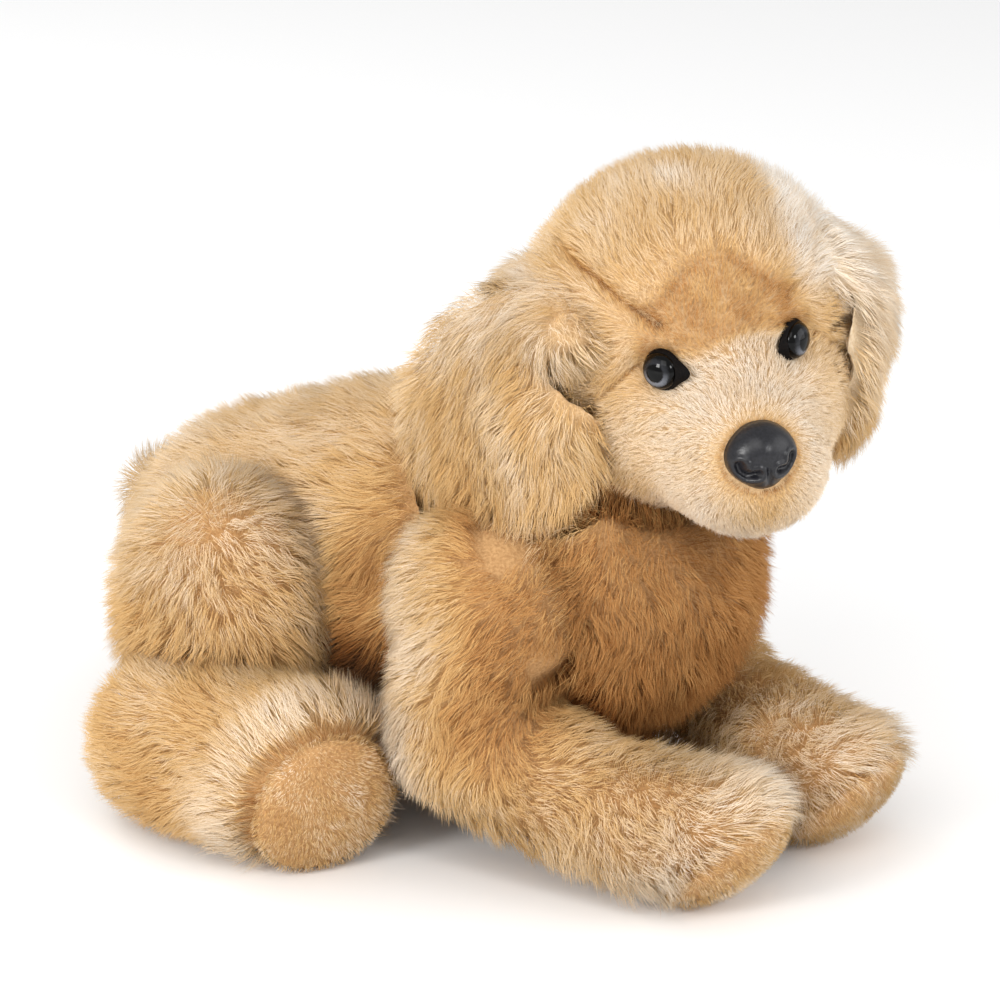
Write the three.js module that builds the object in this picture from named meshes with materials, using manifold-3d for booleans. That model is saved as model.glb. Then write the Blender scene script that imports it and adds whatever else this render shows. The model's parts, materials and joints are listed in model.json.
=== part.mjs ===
// A sewn plush dog, lying down with its head up and turned to its right.
// Frame: millimetres, +Z up, the dog faces -Y, its own left is +X.
// Origin: centre of the flat underside, on the surface that the dog lies on.
// Every stuffed section is a set of sewn fabric panels around its own filling; eyes and nose are
// moulded plastic, held through the fabric by lock washers.
import * as THREE from "three";
import { mergeVertices } from "three/addons/utils/BufferGeometryUtils.js";
import Module from "manifold-3d";

const wasm = await Module();
wasm.setup();

// ---- driving dimensions ----
const FABRIC = 6; // backing and compressed pile of one panel
const SEAM = 0.4; // gap between two sewn panels
const PLAY = 2.5; // room around a section that moves
const ROUND = 16; // segments round a section
const COARSE = 8; // segments round a hidden face
const SLIVER = 0.1; // edges shorter than this are merged
const BIG = 900; // size of a cutting block
const LEFT = 1; // sign of x on the dog's left side
const RIGHT = -1;

// Torso: a tube of changing radius along the back, from the rump to the chest.
const TORSO = [
  { at: [0, 46, 66], rx: 60, rz: 70 },
  { at: [0, -20, 78], rx: 62, rz: 81 },
  { at: [0, -84, 97], rx: 66, rz: 74 },
  { at: [0, -112, 105], rx: 66, rz: 66 },
];
const BELLY_TOP = 34; // the belly panel ends at this height
const CHEST_BACK = -92; // the chest panel starts in front of this

// Neck: a stuffed ball that the head turns and nods on.
const NECK = [0, -124, 160];
const NECK_R = 36;
const TURN_AXIS = [0, -0.34, 0.94];
const TURN = 12; // degrees each way
const NOD = 7;

// Head, in its own frame: face along -Y, origin at the centre of the skull.
const HEAD_AT = [6, -152, 214];
const HEAD_YAW = -39;
const HEAD_PITCH = 6;
const HEAD_ROLL = -8;
const SKULL = { at: [0, 0, 0], r: [61, 57, 58] };
const CHEEKS = { at: [0, -24, -26], r: [53, 42, 40] };
const MUZZLE = { at: [0, -43, -33], r: [36, 38, 33] };
const CROWN_Z = 20; // crown panel above this
const MUZZLE_Y = -44; // muzzle and chin panels in front of this
const CHIN_Z = -44; // chin panel below this

// Eyes and nose, in the head's frame.
const EYE_AT = [27, -49, 2];
const EYE_OUT = [0.62, -0.78, 0.06];
const EYE_R = 7.6;
const NOSE_AT = [0, -79, -27];
const NOSE_OUT = [0, -1, 0.12];
const SHANK_R = 2.4;
const WASHER_R = 8;

// Ears: flat leaves that hang beside the skull from their top edge.
// Each ear's own place, in degrees: flare, its rear edge stands off the head; tilt, its lower end does;
// sweep, it lies back.
const EAR = { at: [0, 0, 0], r: [9, 40, 59] };
const EARS = {
  left: { at: [71, 4, -22], flare: 24, tilt: 6, sweep: 12 },
  right: { at: [-75, 8, -24], flare: 42, tilt: 12, sweep: 12 },
};
const EAR_HINGE = [0, 0, EAR.r[2] - 3];
const EAR_CLEARING = [7, 14]; // degrees of lift at which the ear still passes the chest

// Front legs: an upper arm and a forearm in one sewn section, turning at the shoulder.
const SHOULDER = [60, -106, 98];
const UPPER_ARM = [
  { at: SHOULDER, rx: 27, rz: 30 },
  { at: [66, -98, 58], rx: 27, rz: 29 },
];
const ELBOW = { at: [66, -98, 54], rx: 28, rz: 30 };
const FOREARMS = {
  left: [ELBOW, { at: [50, -150, 33], rx: 24, rz: 25 }, { at: [27, -209, 27], rx: 28, rz: 27 }],
  right: [ELBOW, { at: [60, -150, 33], rx: 24, rz: 25 }, { at: [47, -202, 27], rx: 28, rz: 27 }],
};
// A paw's sole is the panel past a plane, this far out from the centre of the paw along its normal.
const SOLE_OUT = [0, -0.71, -0.7];
const SOLE_AT = 14;
const ARM_LIFT = 22; // degrees up from the floor

// Hind legs: a thigh and a foot sewn to it, which splay outward together at the hip.
const HIP = [70, 24, 84];
const THIGH = { at: [70, 17, 80], r: [33, 46, 54] };
const FOOT = [
  { at: [101, 18, 32], rx: 31, rz: 33 },
  { at: [103, -18, 33], rx: 32, rz: 34 },
  { at: [104, -48, 34], rx: 33, rz: 35 },
];
// A foot's sole pad is the panel past a plane, this far out from the foot's front centre along its normal.
const PAD_OUT = [0.55, -0.79, -0.25];
const PAD_AT = 20;
const SPLAY = 14;

// Tail: curls round the rump to the dog's left.
const TAIL = [
  { at: [6, 108, 90], rx: 15, rz: 16 },
  { at: [37, 112, 68], rx: 18, rz: 19 },
  { at: [66, 98, 43], rx: 18, rz: 19 },
  { at: [84, 80, 23], rx: 13, rz: 14 },
];
const TAIL_WAG = [-6, 20];

const FABRICS = {
  golden: [0.72, 0.5, 0.29, 0.95],
  honey: [0.78, 0.6, 0.38, 0.95],
  cream: [0.88, 0.8, 0.64, 0.95],
  filling: [0.94, 0.93, 0.9, 1.0],
  black: [0.03, 0.03, 0.035, 0.25],
  washer: [0.85, 0.85, 0.83, 0.5],
};

// ---- shapes ----
const LATERAL = [1, 0, 0];
const UPRIGHT = [0, 0, 1];
const yaw = THREE.MathUtils.degToRad(HEAD_YAW);
const NOD_AXIS = [Math.cos(yaw), Math.sin(yaw), 0]; // across the head
const unit = (v) => new THREE.Vector3(...v).normalize();
const mirror = (v, side) => [v[0] * side, v[1], v[2]];
const headMatrix = new THREE.Matrix4().compose(
  new THREE.Vector3(...HEAD_AT),
  new THREE.Quaternion()
    .setFromAxisAngle(unit([0, 0, 1]), THREE.MathUtils.degToRad(HEAD_YAW))
    .multiply(new THREE.Quaternion().setFromAxisAngle(unit([1, 0, 0]), THREE.MathUtils.degToRad(HEAD_PITCH)))
    .multiply(new THREE.Quaternion().setFromAxisAngle(unit([0, 1, 0]), THREE.MathUtils.degToRad(HEAD_ROLL))),
  new THREE.Vector3(1, 1, 1),
);

// A room's flat facets must stay outside the round section that turns in it, so a room's corners stand out.
const cornersOut = (grow) => (grow > 0 ? 1 / Math.cos(Math.PI / COARSE) : 1);

function ellipsoid({ at, r }, grow = 0) {
  const [across, rings] = grow === 0 ? [ROUND, ROUND * 0.75] : [COARSE, COARSE - 2];
  const g = new THREE.SphereGeometry(1, across, rings);
  g.rotateX(Math.PI / 2);
  const out = cornersOut(grow);
  return g.scale(...r.map((v) => (v + grow) * out)).translate(...at);
}

// A sphere stretched along a curve: round at both ends, with its own width and height at each station.
function sausage(stations, grow = 0, side = 1, tubeRings = 6) {
  const capRings = grow === 0 ? 4 : 2;
  const rings = tubeRings + 2 * capRings;
  const g = new THREE.SphereGeometry(1, grow === 0 ? ROUND : COARSE, rings);
  const curve = new THREE.CatmullRomCurve3(stations.map((s) => new THREE.Vector3(...mirror(s.at, side))));
  const out = cornersOut(grow);
  const widths = new THREE.SplineCurve(
    stations.map((s) => new THREE.Vector2((s.rx + grow) * out, (s.rz + grow) * out)),
  );
  const position = g.getAttribute("position");
  const p = new THREE.Vector3();
  for (let i = 0; i < position.count; i += 1) {
    p.fromBufferAttribute(position, i);
    const polar = Math.acos(THREE.MathUtils.clamp(p.y, -1, 1));
    const ring = Math.round((polar / Math.PI) * rings);
    const around = Math.atan2(p.z, p.x);
    const along = THREE.MathUtils.clamp((ring - capRings) / tubeRings, 0, 1);
    const cap = ring < capRings ? ring - capRings : Math.max(ring - capRings - tubeRings, 0);
    const lean = (cap / capRings) * (Math.PI / 2);
    const tangent = curve.getTangent(along);
    const across = new THREE.Vector3(1, 0, 0).addScaledVector(tangent, -tangent.x).normalize();
    const up = new THREE.Vector3().crossVectors(across, tangent);
    const w = widths.getPoint(along);
    const reach = Math.cos(lean);
    const q = curve.getPoint(along).addScaledVector(tangent, Math.sin(lean) * (w.x + w.y) / 2);
    q.addScaledVector(across, Math.cos(around) * reach * w.x);
    q.addScaledVector(up, Math.sin(around) * reach * w.y);
    position.setXYZ(i, q.x, q.y, q.z);
  }
  return g;
}

// ---- solids ----
function solid(geometry, matrix) {
  let g = new THREE.BufferGeometry();
  g.setAttribute("position", geometry.getAttribute("position").clone());
  if (geometry.index) g.setIndex(geometry.index.clone());
  if (matrix) g.applyMatrix4(matrix);
  g = mergeVertices(g, 1e-3);
  const made = new wasm.Manifold(
    new wasm.Mesh({
      numProp: 3,
      vertProperties: g.getAttribute("position").array,
      triVerts: new Uint32Array(g.index.array),
    }),
  );
  if (made.volume() > 0) return made;
  const flipped = new Uint32Array(g.index.array).reverse();
  return new wasm.Manifold(
    new wasm.Mesh({ numProp: 3, vertProperties: g.getAttribute("position").array, triVerts: flipped }),
  );
}

const union = (parts) => parts.reduce((all, s) => all.add(s));
const joined = (shapes, matrix) => union(shapes.map((g) => solid(g, matrix)));

function turned(point, axis, degrees) {
  const to = new THREE.Matrix4().makeTranslation(...point);
  const back = new THREE.Matrix4().makeTranslation(...point.map((v) => -v));
  const spin = new THREE.Matrix4().makeRotationAxis(unit(axis), THREE.MathUtils.degToRad(degrees));
  return to.multiply(spin).multiply(back);
}

// Room for a section that turns: the grown section at each of these angles.
function swept(shapes, point, axis, angles, base = new THREE.Matrix4()) {
  return union(angles.map((a) => joined(shapes, turned(point, axis, a).multiply(base))));
}

// All the space on the side of a plane that the normal points to, starting offset mm past the point.
function beyond(point, normal, offset = 0, matrix = new THREE.Matrix4()) {
  const g = new THREE.BoxGeometry(BIG, BIG, BIG);
  g.translate(0, 0, BIG / 2 + offset);
  const turn = new THREE.Quaternion().setFromUnitVectors(unit([0, 0, 1]), unit(normal));
  g.applyMatrix4(new THREE.Matrix4().compose(new THREE.Vector3(...point), turn, new THREE.Vector3(1, 1, 1)));
  return solid(g, matrix);
}

const opposite = (n) => n.map((v) => -v);
const past = (point, normal, reach) => point.map((v, i) => v + normal[i] * reach);

// Both sides of a plane, with a seam's gap between them.
function split(s, point, normal, matrix) {
  return [
    s.intersect(beyond(point, normal, SEAM / 2, matrix)),
    s.intersect(beyond(point, opposite(normal), SEAM / 2, matrix)),
  ];
}

const floor = beyond([0, 0, 0], [0, 0, 1]);

const group = new THREE.Group();

// Keeps only the largest piece, so that a sliver left by a cut is never a second body.
function add(name, made, fabric) {
  const body = made.simplify(SLIVER).decompose().reduce((a, b) => (b.volume() > a.volume() ? b : a));
  const mesh = body.getMesh();
  const points = new Float32Array(mesh.numVert * 3);
  for (let i = 0; i < mesh.numVert; i += 1) {
    points.set(mesh.vertProperties.subarray(i * mesh.numProp, i * mesh.numProp + 3), i * 3);
  }
  const g = new THREE.BufferGeometry();
  g.setAttribute("position", new THREE.BufferAttribute(points, 3));
  g.setIndex(new THREE.BufferAttribute(mesh.triVerts, 1));
  g.computeVertexNormals();
  const [red, green, blue, roughness] = FABRICS[fabric];
  const color = new THREE.Color(red, green, blue);
  const material = new THREE.MeshStandardMaterial({ color, roughness, metalness: 0 });
  const part = new THREE.Mesh(g, material);
  part.name = name;
  group.add(part);
}

// A section's fabric shell and the filling inside it, both cut by the same neighbours.
function section(shapesAt, cuts, matrix) {
  const trim = (s) => cuts.reduce((left, cut) => left.subtract(cut), s).intersect(floor);
  const skin = trim(joined(shapesAt(0), matrix)).subtract(joined(shapesAt(-FABRIC), matrix));
  const filling = trim(joined(shapesAt(-FABRIC - SEAM), matrix));
  return { skin, filling };
}

// ---- sections that others make room for ----
const headShapes = (grow) => [ellipsoid(SKULL, grow), ellipsoid(CHEEKS, grow), ellipsoid(MUZZLE, grow)];
function earPlace(side) {
  const ear = side === LEFT ? EARS.left : EARS.right;
  const place = new THREE.Matrix4().makeTranslation(...ear.at);
  place.multiply(new THREE.Matrix4().makeRotationZ(THREE.MathUtils.degToRad(-side * ear.flare)));
  place.multiply(new THREE.Matrix4().makeRotationY(THREE.MathUtils.degToRad(-side * ear.tilt)));
  return place.multiply(new THREE.Matrix4().makeRotationX(THREE.MathUtils.degToRad(ear.sweep)));
}
const earShape = (side, grow) => ellipsoid(EAR, grow).applyMatrix4(earPlace(side));
const armShapes = (side) => (grow) => [
  sausage(UPPER_ARM, grow, side, 2),
  sausage(side === LEFT ? FOREARMS.left : FOREARMS.right, grow, side, 4),
];
const footShapes = (side) => (grow) => [sausage(FOOT, grow, side, 3)];
const thighShapes = (side) => (grow) => [ellipsoid({ at: mirror(THIGH.at, side), r: THIGH.r }, grow)];
const tailShapes = (grow) => [sausage(TAIL, grow)];

const neckBall = (grow) => ellipsoid({ at: NECK, r: [NECK_R, NECK_R, NECK_R] }, grow);

// What the torso makes room for: the head and ears at the corners of their travel, and the ears as they lift.
function headRoom() {
  const shapes = [...headShapes(PLAY), earShape(LEFT, PLAY + SEAM), earShape(RIGHT, PLAY + SEAM)];
  const corners = [[0, 0], [TURN, NOD], [TURN, -NOD], [-TURN, NOD], [-TURN, -NOD]];
  const turns = corners.map(([turn, nod]) => {
    const pose = turned(NECK, TURN_AXIS, turn).multiply(turned(NECK, NOD_AXIS, nod));
    return joined(shapes, pose.multiply(headMatrix));
  });
  const lifts = [LEFT, RIGHT].flatMap((side) => EAR_CLEARING.map((lift) => {
    const place = headMatrix.clone().multiply(earPlace(side));
    return solid(ellipsoid(EAR, PLAY), place.multiply(turned(EAR_HINGE, [0, -side, 0], lift)));
  }));
  return union([...turns, ...lifts]);
}

const sides = [["left", LEFT], ["right", RIGHT]];
const armRoom = sides.map(([, side]) =>
  swept(armShapes(side)(PLAY), mirror(SHOULDER, side), LATERAL, [0, -ARM_LIFT / 2, -ARM_LIFT]));
const hindRoom = sides.map(([, side]) => {
  const shapes = [...thighShapes(side)(PLAY), ...footShapes(side)(PLAY)];
  return swept(shapes, mirror(HIP, side), UPRIGHT, [0, side * SPLAY]);
});
const tailRoom = swept(tailShapes(PLAY), TAIL[0].at, UPRIGHT, [TAIL_WAG[0], 0, TAIL_WAG[1]]);
const headCut = headRoom();

// ---- torso ----
const torsoShapes = (grow) => [sausage(TORSO, grow), ellipsoid({ at: NECK, r: [46, 46, 40] }, grow)];
const torso = section(
  torsoShapes,
  [headCut, solid(neckBall(PLAY)), ...armRoom, ...hindRoom, tailRoom],
);
const [upper, belly] = split(torso.skin, [0, 0, BELLY_TOP], UPRIGHT);
const [chest, back] = split(upper, [0, CHEST_BACK, 0], [0, -1, 0]);
const [backLeft, backRight] = split(back, [0, 0, 0], LATERAL);
add("torso_filling", torso.filling, "filling");
add("belly_panel", belly, "honey");
add("chest_panel", chest, "golden");
add("back_left_panel", backLeft, "golden");
add("back_right_panel", backRight, "golden");
add("neck_filling", solid(neckBall(0)), "filling");

// ---- moulded parts: a head, a shank through the fabric, and a washer that locks behind it ----
const lathe = (profile) => new THREE.LatheGeometry(profile.map(([r, y]) => new THREE.Vector2(r, y)), ROUND)
  .rotateX(Math.PI / 2);

function facing(at, out) {
  const turn = new THREE.Quaternion().setFromUnitVectors(unit([0, 0, 1]), unit(out));
  const place = new THREE.Matrix4().compose(new THREE.Vector3(...at), turn, new THREE.Vector3(1, 1, 1));
  return headMatrix.clone().multiply(place);
}

// Profiles run along the outward axis: z is 0 at the fabric's surface.
const SHANK_END = -17;
const washerProfile = [
  [SHANK_R + 0.5, -11], [WASHER_R, -11], [WASHER_R, -9], [SHANK_R + 0.5, -9], [SHANK_R + 0.5, -11],
];
const pocketProfile = (r) => [
  [0, SHANK_END - 1], [SHANK_R + 0.4, SHANK_END - 1], [SHANK_R + 0.4, -11.5], [WASHER_R + 0.4, -11.5],
  [WASHER_R + 0.4, -8.5], [SHANK_R + 0.4, -8.5], [SHANK_R + 0.4, -2.5], [r, -2.5], [r, 40], [0, 40],
];
const eyeBack = (r) => [
  [0, SHANK_END], [SHANK_R, SHANK_END], [SHANK_R, -2], [r, -2], [r + 0.8, -0.6], [r + 0.6, 1], [0, 1],
];
const eyeLens = (r) => [[0, 1.4], [r - 0.3, 1.4], [r - 1, 3.2], [r * 0.6, 5], [r * 0.3, 5.8], [0, 6]];
const NOSE_R = 12.5;
const noseProfile = [
  [0, SHANK_END], [SHANK_R, SHANK_END], [SHANK_R, -2], [NOSE_R - 1.5, -2], [NOSE_R, 1.5], [NOSE_R - 1, 6],
  [NOSE_R * 0.7, 10], [NOSE_R * 0.35, 12], [0, 12.5],
];
const NOSTRIL = { at: [5.6, -3.4, 11.5], r: [2.6, 2.2, 3] };

const nosePlace = facing(NOSE_AT, NOSE_OUT);
const eyePlaces = sides.map(([, side]) => facing(mirror(EYE_AT, side), mirror(EYE_OUT, side)));
const pockets = [
  solid(lathe(pocketProfile(NOSE_R + 0.6)), nosePlace),
  ...eyePlaces.map((place) => solid(lathe(pocketProfile(EYE_R + 1.3)), place)),
];

// ---- head ----
const head = section(headShapes, [solid(neckBall(PLAY)), ...pockets], headMatrix);
const [crown, face] = split(head.skin, [0, 0, CROWN_Z], UPRIGHT, headMatrix);
const [snout, cheeks] = split(face, [0, MUZZLE_Y, 0], [0, -1, 0], headMatrix);
const [muzzle, chin] = split(snout, [0, 0, CHIN_Z], UPRIGHT, headMatrix);
const [cheekLeft, cheekRight] = split(cheeks, [0, 0, 0], LATERAL, headMatrix);
add("head_filling", head.filling, "filling");
add("crown_panel", crown, "honey");
add("cheek_left_panel", cheekLeft, "honey");
add("cheek_right_panel", cheekRight, "honey");
add("muzzle_panel", muzzle, "cream");
add("chin_panel", chin, "cream");

const nostrils = sides.map(([, side]) => new THREE.SphereGeometry(1, 10, 6)
  .scale(...NOSTRIL.r).translate(...mirror(NOSTRIL.at, side)));
add("nose", solid(lathe(noseProfile), nosePlace).subtract(joined(nostrils, nosePlace)), "black");
add("nose_washer", solid(lathe(washerProfile), nosePlace), "washer");
sides.forEach(([word], i) => {
  add(`eye_${word}_back`, solid(lathe(eyeBack(EYE_R)), eyePlaces[i]), "black");
  add(`eye_${word}_lens`, solid(lathe(eyeLens(EYE_R)), eyePlaces[i]), "black");
  add(`eye_${word}_washer`, solid(lathe(washerProfile), eyePlaces[i]), "washer");
});

// ---- ears ----
const earRoom = joined(headShapes(PLAY), headMatrix).add(solid(neckBall(PLAY)));
sides.forEach(([word, side]) => {
  const place = headMatrix.clone().multiply(earPlace(side));
  const flap = solid(ellipsoid(EAR), place).subtract(earRoom);
  const [outer, lining] = split(flap, [0, 0, 0], [side, 0, 0], place);
  add(`ear_${word}_outer`, outer, "honey");
  add(`ear_${word}_lining`, lining, "cream");
});

// ---- front legs ----
sides.forEach(([word, side]) => {
  const leg = section(armShapes(side), [headCut]);
  const paw = (side === LEFT ? FOREARMS.left : FOREARMS.right)[2];
  const [sole, sleeve] = split(leg.skin, past(mirror(paw.at, side), SOLE_OUT, SOLE_AT), SOLE_OUT);
  const [outer, inner] = split(sleeve, mirror([58, 0, 0], side), [side, 0, 0]);
  add(`front_${word}_outer_panel`, outer, "golden");
  add(`front_${word}_inner_panel`, inner, "golden");
  add(`front_${word}_paw_sole`, sole, "honey");
  add(`front_${word}_filling`, leg.filling, "filling");
});

// ---- hind legs ----
sides.forEach(([word, side]) => {
  const thigh = section(thighShapes(side), [joined(footShapes(side)(PLAY))]);
  const [outer, inner] = split(thigh.skin, mirror(THIGH.at, side), [side, 0, 0]);
  add(`thigh_${word}_outer_panel`, outer, "golden");
  add(`thigh_${word}_inner_panel`, inner, "golden");
  add(`thigh_${word}_filling`, thigh.filling, "filling");
  const foot = section(footShapes(side), []);
  const padOut = mirror(PAD_OUT, side);
  const [pad, sleeve] = split(foot.skin, past(mirror(FOOT[2].at, side), padOut, PAD_AT), padOut);
  const [top, under] = split(sleeve, FOOT[0].at, UPRIGHT);
  add(`foot_${word}_top_panel`, top, "golden");
  add(`foot_${word}_under_panel`, under, "golden");
  add(`foot_${word}_sole_pad`, pad, "honey");
  add(`foot_${word}_filling`, foot.filling, "filling");
});

// ---- tail ----
const tail = section(tailShapes, []);
const [tailTop, tailUnder] = split(tail.skin, TAIL[1].at, [0, 1, 0.2]);
add("tail_outer_panel", tailTop, "cream");
add("tail_inner_panel", tailUnder, "golden");
add("tail_filling", tail.filling, "filling");

export default group;
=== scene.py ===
"""A lying plush puppy: long-pile covers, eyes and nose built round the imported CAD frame. Metres, +Z up."""
import json
import math

import bmesh
import bpy
import numpy as np
from mathutils import Matrix, Vector, kdtree
from mathutils.bvhtree import BVHTree


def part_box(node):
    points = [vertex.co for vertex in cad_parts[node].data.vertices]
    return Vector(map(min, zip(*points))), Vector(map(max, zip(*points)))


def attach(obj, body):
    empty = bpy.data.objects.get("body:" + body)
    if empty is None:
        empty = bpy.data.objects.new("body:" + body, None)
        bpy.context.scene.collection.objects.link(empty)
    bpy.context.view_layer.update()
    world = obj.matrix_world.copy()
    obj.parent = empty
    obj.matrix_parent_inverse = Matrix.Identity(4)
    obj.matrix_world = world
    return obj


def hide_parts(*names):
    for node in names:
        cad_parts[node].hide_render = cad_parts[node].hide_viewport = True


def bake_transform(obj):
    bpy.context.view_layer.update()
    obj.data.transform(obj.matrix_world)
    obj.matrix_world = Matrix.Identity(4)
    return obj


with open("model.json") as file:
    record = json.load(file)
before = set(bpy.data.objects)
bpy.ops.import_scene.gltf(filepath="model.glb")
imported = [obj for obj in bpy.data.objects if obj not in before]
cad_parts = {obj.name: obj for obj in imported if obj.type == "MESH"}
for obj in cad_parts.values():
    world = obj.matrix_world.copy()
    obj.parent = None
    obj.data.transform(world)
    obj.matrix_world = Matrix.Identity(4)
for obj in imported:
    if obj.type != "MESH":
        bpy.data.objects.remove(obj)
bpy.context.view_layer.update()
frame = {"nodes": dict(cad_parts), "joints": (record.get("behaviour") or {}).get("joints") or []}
MM = 0.001
TAU = 2 * math.pi

# ---- camera ----
AZIMUTH, ELEVATION = math.radians(-55), math.radians(19)
DISTANCE = 1.5
# What the middle of the picture shows.
AIM = Vector((-0.0026, -0.0707, 0.1243))
LENS = 135


def add_camera():
    back = Vector((
        math.sin(AZIMUTH) * math.cos(ELEVATION),
        -math.cos(AZIMUTH) * math.cos(ELEVATION),
        math.sin(ELEVATION),
    ))
    camera = bpy.data.objects.new("camera", bpy.data.cameras.new("camera"))
    bpy.context.scene.collection.objects.link(camera)
    camera.data.lens = LENS
    camera.location = AIM + back * DISTANCE
    camera.rotation_euler = back.to_track_quat("Z", "Y").to_euler()
    bpy.context.scene.camera = camera


# ---- arrays ----
def moved(points, matrix):
    """Points, an N by 3 array, taken through a matrix."""
    m = np.array(matrix)
    return points @ m[:3, :3].T + m[:3, 3]


def turned(vectors, matrix):
    return vectors @ np.array(matrix)[:3, :3].T


def unit(vectors):
    return vectors / np.maximum(np.linalg.norm(vectors, axis=-1, keepdims=True), 1e-12)


def smooth(value, low, high):
    """0 at low, 1 at high and a smooth step between."""
    t = np.clip((value - low) / (high - low), 0, 1)
    return t * t * (3 - 2 * t)


def bell(value, width):
    return np.exp(-((value / width) ** 2))


def mix(a, b, share):
    """a where share is 0, b where it is 1. Each may be a value, a vector, or one of them for each point."""
    a, b, share = np.asarray(a, float), np.asarray(b, float), np.asarray(share, float)
    if (a.ndim == 2 or b.ndim == 2 or a.shape == (3,) or b.shape == (3,)) and share.ndim == 1:
        share = share[:, None]
    return a * (1 - share) + b * share


WAVES = 9


def ripple(points, size, seed):
    """Smooth noise, about -1 to 1, whose features are about that size."""
    rng = np.random.default_rng(1000 + seed)
    waves = unit(rng.standard_normal((WAVES, 3))) * (TAU / (size * rng.uniform(0.9, 2.6, WAVES)))[:, None]
    return np.sin(points @ waves.T + rng.uniform(0, TAU, WAVES)).sum(1) / 3


def line_gap(points, line):
    """Distance from each point to a line through a few places."""
    best = np.full(len(points), np.inf)
    for a, b in zip(line[:-1], line[1:]):
        a, b = np.array(a, float), np.array(b, float)
        t = np.clip(((points - a) @ (b - a)) / ((b - a) @ (b - a)), 0, 1)
        best = np.minimum(best, np.linalg.norm(points - (a + t[:, None] * (b - a)), axis=1))
    return best


# ---- places read from the frame ----
def middle(node):
    low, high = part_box(node)
    return (low + high) / 2


JOINTS = {joint["name"]: Vector(joint["pos_m"]) for joint in frame["joints"]}
SIDES = (("left", 1), ("right", -1))
# Where the eyes' middle and the nose's middle lie in the head's own frame, which faces -Y.
EYES_IN_HEAD = Vector((0, -51.7, 2.2)) * MM
NOSE_IN_HEAD = Vector((0, -76.8, -27.3)) * MM


def head_frame():
    """The head's own frame: x to its left, y to its back, z up, origin at the centre of the skull."""
    left, right, nose = (middle(n) for n in ("eye_left_lens", "eye_right_lens", "nose"))
    eyes = (left + right) / 2
    x = (left - right).normalized()
    down = (nose - eyes).normalized()
    across = x.cross(down)
    known = (NOSE_IN_HEAD - EYES_IN_HEAD).normalized()
    y = down * known.y - across * known.z
    z = down * known.z + across * known.y
    turn = Matrix((x, y, z)).transposed().to_4x4()
    turn.translation = eyes - turn.to_3x3() @ EYES_IN_HEAD
    return turn


HEAD = head_frame()
HEAD_BACK = HEAD.inverted()


def in_head(*mm):
    return HEAD @ (Vector(mm) * MM)


def along_head(*mm):
    return HEAD.to_3x3() @ (Vector(mm) * MM)


# ---- materials ----
def shader(material):
    return material.node_tree.nodes["Principled BSDF"]


def new_material(name, roughness, **values):
    material = bpy.data.materials.new(name)
    material.use_nodes = True
    bsdf = shader(material)
    bsdf.inputs["Roughness"].default_value = roughness
    for key, value in values.items():
        bsdf.inputs[key.replace("_", " ")].default_value = value
    return material


def linear(red, green, blue):
    """An 8-bit colour as the linear values that a shader takes."""
    values = [c / 255 for c in (red, green, blue)]
    return [c / 12.92 if c <= 0.04045 else ((c + 0.055) / 1.055) ** 2.4 for c in values] + [1]


def grain_material(name, low, high, roughness, scale, bump, **values):
    """A surface whose colour wanders between two colours, with a fine bump."""
    material = new_material(name, roughness, **values)
    tree = material.node_tree
    where = tree.nodes.new("ShaderNodeTexCoord")
    grain = tree.nodes.new("ShaderNodeTexNoise")
    grain.inputs["Scale"].default_value = scale
    grain.inputs["Detail"].default_value = 6
    ramp = tree.nodes.new("ShaderNodeValToRGB")
    ramp.color_ramp.elements[0].position = 0.35
    ramp.color_ramp.elements[0].color = linear(*low)
    ramp.color_ramp.elements[1].position = 0.65
    ramp.color_ramp.elements[1].color = linear(*high)
    height = tree.nodes.new("ShaderNodeBump")
    height.inputs["Strength"].default_value = bump
    height.inputs["Distance"].default_value = 0.5 * MM
    link = tree.links.new
    link(where.outputs["Object"], grain.inputs["Vector"])
    link(grain.outputs["Fac"], ramp.inputs["Fac"])
    link(ramp.outputs["Color"], shader(material).inputs["Base Color"])
    link(grain.outputs["Fac"], height.inputs["Height"])
    link(height.outputs["Normal"], shader(material).inputs["Normal"])
    return material


# The colours of an eye from its axis outward: the pupil, the ring, which is partly the iris and partly a
# painted reflection of the floor, and the black edge.
IRIS = [
    (0.0, (2, 2, 2)), (0.44, (3, 3, 3)),
    (0.52, (112, 114, 121)), (0.66, (96, 98, 104)), (0.76, (5, 4, 4)),
]
# How far from the axis, in mm, that list starts and ends.
IRIS_FROM, IRIS_TO = 0.6, 8.1


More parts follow.
